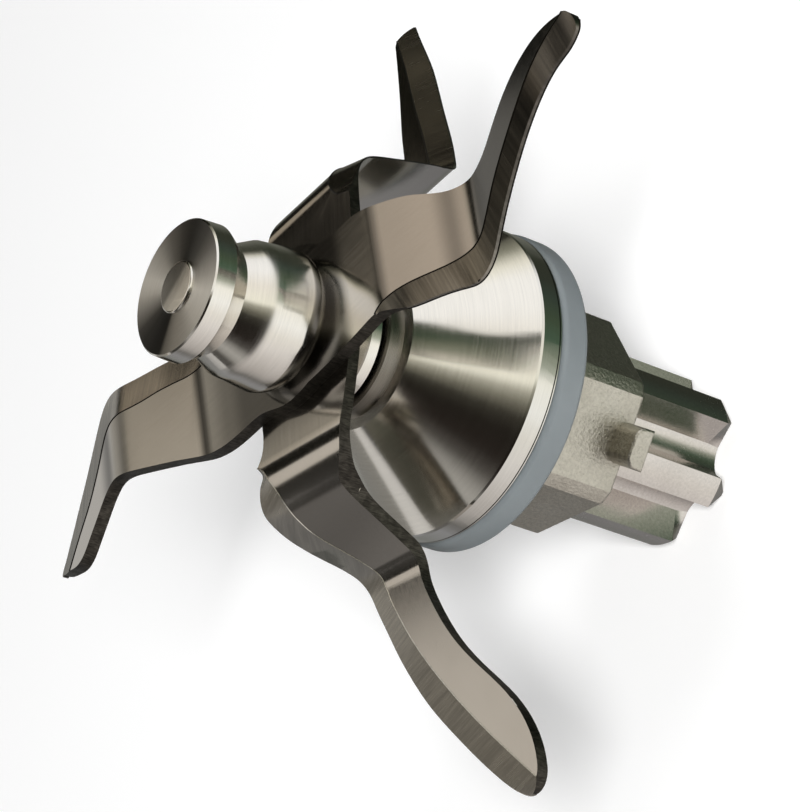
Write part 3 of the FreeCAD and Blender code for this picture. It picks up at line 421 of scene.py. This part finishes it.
# Ground cutting bevels: fine lines across the edge from the grinding wheel
GROUND_UP = MetalFinish("ground_stainless_bevel_upper", "#CDC7BD", "#B5AEA2", Grain.CROSS_GROUND, (0.18, 0.30), 0.5,
                        0.003, turn_deg=-45.0, bump=0.5, mark_shade=0.19, scratches=0.0,
                        painted_light=UPPER_BEVEL_PAINTED_SHADE)
GROUND_LOW = MetalFinish("ground_stainless_bevel_lower", "#CDC7BD", "#B5AEA2", Grain.CROSS_GROUND, (0.18, 0.30), 0.34,
                         0.002, turn_deg=37.0, bump=0.5, mark_shade=0.12, scratches=0.0)
# Sheared sheet edge: a dark torn face, scored across the sheet, with bright burr specks
SHEARED_EDGE = MetalFinish("sheared_stainless_edge", "#6E6A62", "#302D2A", Grain.SHEARED, (0.30, 0.55), 0.16, 0.06,
                           smudge_mm=1.0, bump=1.0, mark_shade=0.30, scratches=0.1)
# Raised burr beside each ground bevel: on the lower plate bright, polished by the wheel, with painted shade along arm
# 2;
# on the upper one painted near black as a shadow line beside the bevel
BRIGHT_BURR = MetalFinish("polished_burr_with_painted_shade", "#F2EFE8", "#D8D3C8", Grain.POLISHED, (0.10, 0.20), 0.3, 0.001,
                          painted_light=LOWER_BURR_PAINTED_SHADE)
BURR_PAINTED_SHADOW = MetalFinish("burr_painted_shadow", "#35312B", "#1E1C19", Grain.POLISHED, (0.30, 0.40), 0.3, 0.001)
# Ground and polished bearing steel, a cold bright grey
BEARING_STEEL = MetalFinish("ground_bearing_steel", "#D6D8DA", "#C4C6C8", Grain.TURNED, (0.08, 0.16), 0.3, 0.002)
# Pressed shield and cage steel, duller, with drawing marks
PRESSED_STEEL = MetalFinish("pressed_bright_steel", "#BDBBB4", "#A6A39A", Grain.TURNED, (0.24, 0.36), 0.4, 0.004)
# Zinc-plated steel: pale bluish with a milky bloom
ZINC_PLATE = MetalFinish("zinc_plated_steel", "#C2C5C8", "#A9ADB2", Grain.POLISHED, (0.26, 0.42), 0.5, 0.003,
                         smudge_mm=3.0)
# Blued spring steel, nearly black
BLUED_SPRING = MetalFinish("blued_spring_steel", "#4A4946", "#35363A", Grain.POLISHED, (0.26, 0.40), 0.4, 0.003,
                           smudge_mm=3.0)
# Food-grade silicone: soft grey-blue, a little light passes into it
SILICONE = RubberFinish("moulded_silicone_rubber", "#757B7D", "#696F71", (0.30, 0.42), see_in=0.2)
# Nitrile rubber: matt black with a faint skin
NITRILE = RubberFinish("nitrile_rubber", "#1C1C1B", "#141414", (0.48, 0.62))

# What the bright metal mirrors all around it, by compass direction in degrees: the floor and low walls,
# the walls with their white and black curtains, and the ceiling
LOW_BAND = ((-180, "#B0ABA8"), (-151, "#CFCAC7"), (-131, "#E4E0DD"), (-110, "#EFECE6"), (-90, "#FFFFFC"),
            (-68, "#FFFEF6"), (-57, "#A8AEA0"), (-47, "#8A9181"), (-37, "#4A5E4D"), (-20, "#43503F"), (0, "#38423A"),
            (15, "#343830"), (35, "#34372E"), (57, "#5A5C54"), (80, "#707068"), (95, "#868684"), (123, "#7B7C79"),
            (147, "#8C8C8E"), (162, "#6C6A68"), (172, "#A09C99"), (180, "#B0ABA8"))
WALL_BAND = ((-180, "#94928E"), (-170, "#A8A6A2"), (-160, "#8C8A86"), (-150, "#4A4744"), (-135, "#241F1C"), (-112, "#1F1C18"),
             (-97, "#34322C"), (-86, "#6E6C60"), (-76, "#A4A294"), (-68, "#F8F6E8"), (-40, "#F4F0E8"),
             (-12, "#FFFFFF"), (11, "#FFFFFF"), (22, "#F2F0E4"), (33, "#8A8A7C"), (45, "#504E46"), (60, "#46443B"),
             (85, "#20201B"), (140, "#20201C"), (172, "#4A4845"), (180, "#94928E"))
CEILING_BAND = ((-180, "#8A867C"), (-150, "#4A4844"), (-135, "#24221E"), (-95, "#24221E"), (-82, "#9A968C"),
                (-70, "#FFFFFF"), (-50, "#FFFFFF"), (-35, "#8A867C"),
                (30, "#6E6A60"), (70, "#F4EEE2"), (100, "#F4EEE2"), (120, "#B0A592"),
                (135, "#A59B8A"), (150, "#66635A"), (180, "#8A867C"))


def deselect_all() -> None:
    """Leaves edit mode and deselects every object."""
    if bpy.context.object and bpy.context.object.mode != "OBJECT":
        bpy.ops.object.mode_set(mode="OBJECT")
    bpy.ops.object.select_all(action="DESELECT")


def make_active(obj: bpy.types.Object) -> None:
    """Selects one object alone and makes it the active one."""
    deselect_all()
    obj.select_set(True)
    bpy.context.view_layer.objects.active = obj


def paint_faces(obj: bpy.types.Object, finishes: Sequence[bpy.types.Material],
                zone_of: Callable[[bpy.types.MeshPolygon], int]) -> None:
    """Gives each face of a piece one of its finishes, with a sharp line between two finishes.

    Args:
        obj: The mesh object.
        finishes: Its materials, in the order of the zone numbers.
        zone_of: Gives a face's zone number.
    """
    mesh = obj.data
    mesh.materials.clear()
    for finish in finishes:
        mesh.materials.append(finish)
    zones = [zone_of(face) for face in mesh.polygons]
    mesh.polygons.foreach_set("material_index", zones)
    first: dict[int, int] = {}
    for face, zone in zip(mesh.polygons, zones):
        for loop in face.loop_indices:
            edge = mesh.loops[loop].edge_index
            if first.setdefault(edge, zone) != zone:
                mesh.edges[edge].use_edge_sharp = True
    mesh.update()


def clean_copy(name: str, node: str, smooth_deg: float) -> bpy.types.Object:
    """Copies a CAD node into a piece of its own, with its triangles joined and shaded smooth.

    Args:
        name: The new piece's name.
        node: The CAD node that it stands for.
        smooth_deg: Faces that meet at a smaller angle are shaded as one curve.

    Returns:
        The new piece.
    """
    mesh = frame["nodes"][node].data.copy()
    mesh.name = name
    obj = bpy.data.objects.new(name, mesh)
    bpy.context.scene.collection.objects.link(obj)
    make_active(obj)
    if mesh.has_custom_normals:
        bpy.ops.mesh.customdata_custom_splitnormals_clear()
    bpy.ops.object.mode_set(mode="EDIT")
    bpy.ops.mesh.select_all(action="SELECT")
    bpy.ops.mesh.remove_doubles(threshold=0.000004)
    bpy.ops.object.mode_set(mode="OBJECT")
    bpy.ops.object.shade_smooth_by_angle(angle=math.radians(smooth_deg))
    return obj


def body_of_node(node: str) -> str:
    """Names the CAD body that a node belongs to."""
    return frame["nodes"][node]["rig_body"]


def seat(obj: bpy.types.Object, node: str) -> None:
    """Lets a piece ride on its node's body and stand for the node.

    Args:
        obj: The finished piece.
        node: The CAD node that it stands for.
    """
    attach(obj, body_of_node(node))
    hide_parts(node)
    LOG.info("%s: %d faces", obj.name, len(obj.data.polygons))


@dataclass
class TurnedRotor:
    """The turned pieces on the spindle: knob, spindle end and slinger."""

    smooth_deg: float = 24.0
    face_from_mm: float = 76.0
    nodes: dict[str, str] = field(default_factory=lambda: {"turned_knob": "top_knob", "spindle": "drive_shaft",
                                                            "throw_off_ring": "slinger"})

    def zone(self, face: bpy.types.MeshPolygon) -> int:
        """Sorts a face into 0 turned side or 1 faced end of the knob.

        Args:
            face: A face of a turned piece.

        Returns:
            The zone number.
        """
        return 1 if face.normal.z > 0.95 and face.center.z > self.face_from_mm * MM else 0

    def build(self) -> None:
        """Makes and seats every turned piece."""
        turned, faced, dome = (finish.build() for finish in (TURNED_STAINLESS, FACED_STAINLESS, POLISHED_DOME))
        for name, node in self.nodes.items():
            piece = clean_copy(name, node, self.smooth_deg)
            paint_faces(piece, [turned, dome if name == "spindle" else faced], self.zone)
            seat(piece, node)


@dataclass
class BladePlate:
    """One folded plate with two arms: polished faces, ground bevels, sheared edges and burr lines."""

    name: str
    node: str
    arms_deg: tuple[float, float]
    sheet: MetalFinish
    bevel: MetalFinish
    burr_finish: MetalFinish
    bevel_from_mm: float = 20.0
    least_slant: float = 0.09
    burr_mm: float = 0.09
    smooth_deg: float = 40.0

    def zone(self, face: bpy.types.MeshPolygon) -> int:
        """Sorts a face into 0 sheet, 1 ground bevel or 2 sheared edge.

        Args:
            face: A face of the plate.

        Returns:
            The zone number.
        """
        centre, normal = face.center, face.normal
        arm = self.nearest_arm(centre)
        side = Vector((-math.sin(arm), math.cos(arm), 0.0))
        out = Vector((math.cos(arm), math.sin(arm), 0.0))
        if abs(normal.z) < 0.06 and centre.xy.length > 0.004:
            leads = normal.dot(side) < 0.0 and centre.dot(out) > self.bevel_from_mm * MM
            return 1 if leads else 2
        return 1 if abs(normal.dot(side)) > self.least_slant and normal.z > 0.0 else 0

    def nearest_arm(self, centre: Vector) -> float:
        """Finds the direction of the arm that a place belongs to.

        Args:
            centre: A place on the plate.

        Returns:
            The arm's direction in radians.
        """
        around = math.atan2(centre.y, centre.x)
        turns = [math.radians(a) for a in self.arms_deg]
        return max(turns, key=lambda a: math.cos(around - a))

    def burr(self, plate: bpy.types.Object) -> bpy.types.Object:
        """Raises the thin burr along each line where the grinding meets the sheet's face.

        Args:
            plate: The finished plate.

        Returns:
            The burr lines as one new piece.
        """
        make_active(plate)
        bpy.ops.object.mode_set(mode="EDIT")
        bpy.ops.mesh.select_mode(type="EDGE")
        bpy.ops.mesh.select_all(action="DESELECT")
        bpy.ops.object.mode_set(mode="OBJECT")
        zones: dict[int, set[int]] = {}
        for face in plate.data.polygons:
            for loop in face.loop_indices:
                zones.setdefault(plate.data.loops[loop].edge_index, set()).add(face.material_index)
        for edge in plate.data.edges:
            edge.select = zones[edge.index] == {0, 1}
        bpy.ops.object.mode_set(mode="EDIT")
        bpy.ops.mesh.duplicate()
        bpy.ops.mesh.separate(type="SELECTED")
        bpy.ops.object.mode_set(mode="OBJECT")
        lines = next(o for o in bpy.context.selected_objects if o is not plate)
        lines.name = self.name + "_burr"
        make_active(lines)
        bpy.ops.object.convert(target="CURVE")
        lines.data.bevel_depth = self.burr_mm * MM
        lines.data.bevel_resolution = 1
        bpy.ops.object.convert(target="MESH")
        bpy.ops.object.shade_smooth()
        lines.data.materials.clear()
        lines.data.materials.append(self.burr_finish.build())
        return lines

    def build(self) -> None:
        """Makes and seats the plate and its burr lines."""
        plate = clean_copy(self.name, self.node, self.smooth_deg)
        paint_faces(plate, [self.sheet.build(), self.bevel.build(), SHEARED_EDGE.build()], self.zone)
        seat(plate, self.node)
        lines = self.burr(plate)
        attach(lines, body_of_node(self.node))
        LOG.info("%s: %d faces", lines.name, len(lines.data.polygons))


@dataclass
class Housing:
    """The cast housing: turned neck and cone, polished rim, as-cast hexagon with lugs."""

    rim_bottom_mm: float = 37.1
    rim_top_mm: float = 40.4
    rim_mm: float = 20.0
    seal_bottom_mm: float = 33.1
    bore_mm: float = 11.6
    neck_mm: float = 52.55
    groove_mm: tuple[float, float, float] = (37.25, 37.55, 37.72)
    smooth_deg: float = 24.0

    def zone(self, face: bpy.types.MeshPolygon) -> int:
        """Sorts a face into 0 cone, 1 rim, 2 cast skin, 3 machined bore, 4 neck with painted shade or 5 groove with
        painted shadow.

        Args:
            face: A face of the housing.

        Returns:
            The zone number.
        """
        centre, normal = face.center / MM, face.normal
        radius = centre.xy.length
        if radius < self.bore_mm and centre.xy.dot(normal.xy) < 0.0:
            return 3
        if centre.z > self.rim_top_mm - 0.05:
            return 4 if centre.z > self.neck_mm else 0
        if centre.z > self.rim_bottom_mm - 0.05:
            low, middle, high = self.groove_mm
            return 5 if radius > self.rim_mm and (centre.z < low or middle < centre.z < high) else 1
        return 2

    def score(self, housing: bpy.types.Object) -> None:
        """Cuts the edges of the two fine grooves into the rim, just above the seal, where their painted shadow goes.

        Args:
            housing: The housing's clean copy.
        """
        make_active(housing)
        for height in self.groove_mm:
            bpy.ops.object.mode_set(mode="EDIT")
            bpy.ops.mesh.select_all(action="SELECT")
            bpy.ops.mesh.bisect(plane_co=(0.0, 0.0, height * MM), plane_no=(0.0, 0.0, 1.0))
            bpy.ops.object.mode_set(mode="OBJECT")

    def build(self) -> None:
        """Makes and seats the housing and the rings on it."""
        housing = clean_copy("cast_housing", "bearing_housing", self.smooth_deg)
        self.score(housing)
        paint_faces(housing, [finish.build() for finish in (SATIN_CONE, POLISHED_RIM, CAST_SKIN, MACHINED, NECK_PAINTED_SHADE,
                                                           GROOVE_PAINTED_SHADOW)],
                    self.zone)
        seat(housing, "bearing_housing")
        ring = clean_copy("silicone_ring", "sealing_ring", 40.0)
        paint_faces(ring, [SILICONE.build()], lambda face: 0)
        seat(ring, "sealing_ring")


@dataclass
class DriveStar:
    """The six-lobed star below the housing."""

    smooth_deg: float = 24.0

    def build(self) -> None:
        """Makes and seats the star."""
        star = clean_copy("drive_star", "drive_coupling", self.smooth_deg)
        paint_faces(star, [DRIVE_STAR.build()], lambda face: 0)
        seat(star, "drive_coupling")


@dataclass
class InnerWorks:
    """The bearings, spacers, shaft seal and fastenings inside, which keep their CAD shapes."""

    finishes: dict[str, MetalFinish | RubberFinish] = field(default_factory=lambda: {
        "bearing_steel": BEARING_STEEL, "shield_steel": PRESSED_STEEL, "cage_steel": PRESSED_STEEL,
        "zinc_steel": ZINC_PLATE, "spring_steel": BLUED_SPRING, "nitrile": NITRILE})

    def build(self) -> None:
        """Gives every CAD node that is still shown its finish."""
        made: dict[str, bpy.types.Material] = {}
        for part in frame["record"]["subparts"]:
            node, slot = part["node"], part["material_slot"]
            obj = frame["nodes"][node]
            if obj.hide_render:
                continue
            finish = self.finishes[slot]
            made.setdefault(finish.name, finish.build())
            obj.data.materials.clear()
            obj.data.materials.append(made[finish.name])
            LOG.info("%s keeps its CAD shape, in %s", node, finish.name)


@dataclass
class Studio:
    """Floor, lamps, dark cards, surroundings and camera."""

    camera_mm: tuple[float, float, float] = (-4.70, -367.32, 278.52)
    camera_right: tuple[float, float, float] = (0.3277, -0.5072, -0.7971)
    camera_up: tuple[float, float, float] = (0.9448, 0.1759, 0.2765)
    focal_px: float = 3500.0
    long_side_px: float = 812.0
    sensor_mm: float = 36.0

    def camera(self) -> None:
        """Places the camera where the photograph was taken from."""
        data = bpy.data.cameras.new("photo_camera")
        data.sensor_width = self.sensor_mm
        data.lens = self.sensor_mm * self.focal_px / self.long_side_px
        data.clip_start, data.clip_end = 0.01, 20.0
        cam = bpy.data.objects.new("photo_camera", data)
        bpy.context.scene.collection.objects.link(cam)
        right, up = Vector(self.camera_right).normalized(), Vector(self.camera_up).normalized()
        back = right.cross(up).normalized()
        turn = Matrix((right, up, back)).transposed().to_4x4()
        cam.matrix_world = Matrix.Translation(Vector(self.camera_mm) * MM) @ turn
        bpy.context.scene.camera = cam

    def floor(self) -> None:
        """Lays the pale floor that the assembly stands on."""
        bpy.ops.mesh.primitive_plane_add(size=8.0, location=(0.0, 0.0, -0.0002))
        floor = bpy.context.object
        floor.name = "studio_floor"
        material, tree = new_material("pale_painted_floor")
        seen = add_node(tree, "LightPath").outputs["Is Camera Ray"]
        lift = add_node(tree, "Math", {"operation": "MULTIPLY"}, {1: 0.14}, {0: seen})
        shader = add_node(tree, "BsdfPrincipled",
                          values={"Base Color": linear("#F4F4F4"), "Roughness": 0.9, "Specular IOR Level": 0.1,
                                  "Emission Color": (1.0, 1.0, 1.0, 1.0)},
                          links={"Emission Strength": lift.outputs[0]})
        close_material(tree, shader.outputs[0])
        floor.data.materials.append(material)
        floor.visible_glossy = False

    def lamp(self, name: str, toward: tuple[float, float, float], distance: float, size: tuple[float, float],
             radiance: float) -> None:
        """Hangs one soft lamp that lights the floor and the matt surfaces; the metal mirrors the room instead.

        Args:
            name: The lamp's name.
            toward: The direction of the lamp seen from the assembly.
            distance: How far away it hangs, in metres.
            size: Its width and height in metres.
            radiance: How bright its face is, where white paper in full light is 1.
        """
        data = bpy.data.lights.new(name, "AREA")
        data.shape = "RECTANGLE"
        data.size, data.size_y = size
        data.energy = radiance * math.pi * size[0] * size[1]
        lamp = bpy.data.objects.new(name, data)
        way = Vector(toward).normalized()
        lamp.location = way * distance + Vector((0.0, 0.0, 0.05))
        lamp.rotation_euler = way.to_track_quat("Z", "Y").to_euler()
        lamp.visible_glossy = False
        bpy.context.scene.collection.objects.link(lamp)

    def card(self, name: str, centre: tuple[float, float, float], facing: tuple[float, float, float],
             size: tuple[float, float], shades: tuple[tuple[float, str], ...]) -> None:
        """Stands a card or curtain beside the assembly, which only its bright metal mirrors.

        Args:
            name: The card's name.
            centre: The card's middle, in metres.
            facing: The direction that it faces.
            size: Its width and height in metres.
            shades: Heights on the card from 0 to 1 with its colour there.
        """
        bpy.ops.mesh.primitive_plane_add(size=1.0)
        card = bpy.context.object
        card.name = name
        card.scale = (size[0], size[1], 1.0)
        card.rotation_euler = Vector(facing).to_track_quat("Z", "Y").to_euler()
        card.location = centre
        material, tree = new_material(name + "_cloth")
        across = add_node(tree, "SeparateXYZ", links={0: add_node(tree, "TexCoord").outputs["UV"]})
        ramp = add_node(tree, "ValToRGB", links={0: across.outputs[1]})
        first, last = ramp.color_ramp.elements
        for element, (place, code) in zip((first, last), (shades[0], shades[-1])):
            element.position, element.color = place, linear(code)
        for place, code in shades[1:-1]:
            ramp.color_ramp.elements.new(place).color = linear(code)
        shader = add_node(tree, "Emission", values={"Strength": 1.0}, links={"Color": ramp.outputs[0]})
        close_material(tree, shader.outputs[0])
        card.data.materials.append(material)
        card.visible_camera = False
        card.visible_shadow = False
        card.visible_diffuse = False

    def surroundings(self) -> None:
        """Makes the plain room: white to the camera, even grey to matt surfaces, banded walls in the mirrors."""
        world = bpy.data.worlds.new("studio_room")
        bpy.context.scene.world = world
        world.use_nodes = True
        tree = world.node_tree
        tree.nodes.clear()
        way = add_node(tree, "SeparateXYZ", links={0: add_node(tree, "TexCoord").outputs["Generated"]}).outputs
        compass = add_node(tree, "Math", {"operation": "ARCTAN2"}, links={0: way[1], 1: way[0]})
        share = add_node(tree, "MapRange", values={1: -math.pi, 2: math.pi}, links={0: compass.outputs[0]})
        low, wall, ceiling = (self.band(tree, share.outputs[0], stops) for stops in (LOW_BAND, WALL_BAND, CEILING_BAND))
        over_floor = add_node(tree, "MapRange", {"interpolation_type": "SMOOTHSTEP"}, {1: -0.07, 2: 0.06},
                              {0: way[2]})
        over_wall = add_node(tree, "MapRange", {"interpolation_type": "SMOOTHSTEP"}, {1: 0.82, 2: 0.89}, {0: way[2]})
        room = add_node(tree, "Mix", {"data_type": "RGBA"}, links={0: over_floor.outputs[0], 6: low, 7: wall})
        room = add_node(tree, "Mix", {"data_type": "RGBA"},
                        links={0: over_wall.outputs[0], 6: room.outputs[2], 7: ceiling})
        path = add_node(tree, "LightPath")
        colour = add_node(tree, "Mix", {"data_type": "RGBA"}, {6: linear("#646464")},
                          {0: path.outputs["Is Glossy Ray"], 7: room.outputs[2]})
        colour = add_node(tree, "Mix", {"data_type": "RGBA"}, {7: (1.0, 1.0, 1.0, 1.0)},
                          {0: path.outputs["Is Camera Ray"], 6: colour.outputs[2]})
        back = add_node(tree, "Background", values={"Strength": 1.0}, links={"Color": colour.outputs[2]})
        add_node(tree, "OutputWorld", links={"Surface": back.outputs[0]})

    def band(self, tree: bpy.types.NodeTree, share: bpy.types.NodeSocket,
             stops: tuple[tuple[int, str], ...]) -> bpy.types.NodeSocket:
        """Adds one band of the room's colours around the compass.

        Args:
            tree: The world's node tree.
            share: The compass direction from 0 to 1.
            stops: Directions in degrees with the band's colour there.

        Returns:
            The band's colour output.
        """
        ramp = add_node(tree, "ValToRGB", links={0: share})
        first, last = ramp.color_ramp.elements
        for element, (turn, code) in zip((first, last), (stops[0], stops[-1])):
            element.position, element.color = (turn + 180) / 360, linear(code)
        for turn, code in stops[1:-1]:
            ramp.color_ramp.elements.new((turn + 180) / 360).color = linear(code)
        return ramp.outputs[0]

    def mirrored_room(self) -> None:
        """Stands the curtains that the blades' flat faces mirror."""
        self.curtain("middle_curtain", (-0.31, 0.01), 0.46,
                     ((0.0, "#8A8A88"), (0.06, "#B8B8B6"), (0.12, "#C9C8C6"), (0.17, "#A8A6A0"), (0.26, "#B8B4AC"),
                      (0.31, "#98948B"), (0.345, "#8C877C"), (0.37, "#A8A195"), (0.4, "#C0B8AA"), (0.46, "#C4BCAE")))
        self.curtain("left_curtain", (-0.64, -0.31), 0.95,
                     ((0.0, "#7C7B78"), (0.24, "#86847F"), (0.34, "#8C877C"), (0.42, "#B7B0A4"), (0.55, "#D6D0C7"),
                      (0.72, "#D6D0C7"), (0.82, "#C4B7A4"), (0.95, "#B8AB98")))
        self.curtain("far_left_curtain", (-1.3, -0.64), 0.42, ((0.0, "#868482"), (0.08, "#C8C6C4"), (0.42, "#CECCCA")))
        self.curtain("right_curtain", (0.01, 0.51), 0.62,
                     ((0.0, "#2A2A26"), (0.1, "#161611"), (0.345, "#14140F"), (0.372, "#8C8578"), (0.395, "#BDB4A6"),
                      (0.45, "#C8BBAC"), (0.62, "#C8BDB0")))
        self.card("bronze_card", (0.31, 0.44, 0.235), (0.0, -1.0, 0.0), (0.05, 0.075),
                  ((0.0, "#767163"), (1.0, "#8C8574")))
        self.card("warm_card", (0.068, 0.455, 0.19), (0.0, -1.0, 0.0), (0.045, 0.11),
                  ((0.0, "#C4B8A6"), (1.0, "#C4B8A6")))
        self.card("left_dark_flag", (-0.205, 0.45, 0.4), (0.0, -1.0, 0.0), (0.2, 0.36),
                  ((0.0, "#14140F"), (1.0, "#14140F")))
        self.card("right_dark_flag", (0.34, 0.45, 0.43), (0.0, -1.0, 0.0), (0.34, 0.38),
                  ((0.0, "#14140F"), (1.0, "#14140F")))
        self.card("high_white_card", (-0.03, 0.45, 0.78), (0.0, -1.0, 0.0), (0.18, 0.68),
                  ((0.0, "#F6F0E6"), (1.0, "#FFFFFF")))

    def curtain(self, name: str, reach: tuple[float, float], top: float, shades: tuple[tuple[float, str], ...]) -> None:
        """Hangs one curtain behind the assembly, which only its bright metal mirrors.

        Args:
            name: The curtain's name.
            reach: Where it starts and ends along X, in metres.
            top: Its height in metres.
            shades: Heights in metres with its colour there.
        """
        self.card(name, ((reach[0] + reach[1]) / 2, 0.46, top / 2), (0.0, -1.0, 0.0), (reach[1] - reach[0], top),
                  tuple((height / top, code) for height, code in shades))

    def build(self) -> None:
        """Sets up the whole studio."""
        deselect_all()
        self.camera()
        self.floor()
        self.surroundings()
        self.mirrored_room()
        self.lamp("overhead_softbox", (0.5, 0.1, 0.86), 0.9, (0.4, 0.4), 4.6)
        self.lamp("camera_side_softbox", (0.0, -0.78, 0.62), 1.3, (0.36, 0.36), 52.0)
        scene = bpy.context.scene
        scene.view_settings.view_transform = "Standard"
        LOG.info("studio ready")


def main() -> None:
    """Builds the pieces and the studio."""
    logging.basicConfig(level=logging.INFO, format="%(name)s %(message)s")
    TurnedRotor().build()
    BladePlate("upper_blade_plate", "upper_blade", (-45.0, 135.0), BLADE_SHEET_UP, GROUND_UP, BURR_PAINTED_SHADOW).build()
    BladePlate("lower_blade_plate", "lower_blade", (-148.0, 42.0), BLADE_SHEET_LOW, GROUND_LOW, BRIGHT_BURR).build()
    Housing().build()
    DriveStar().build()
    InnerWorks().build()
    Studio().build()


if __name__ == "__main__":
    main()
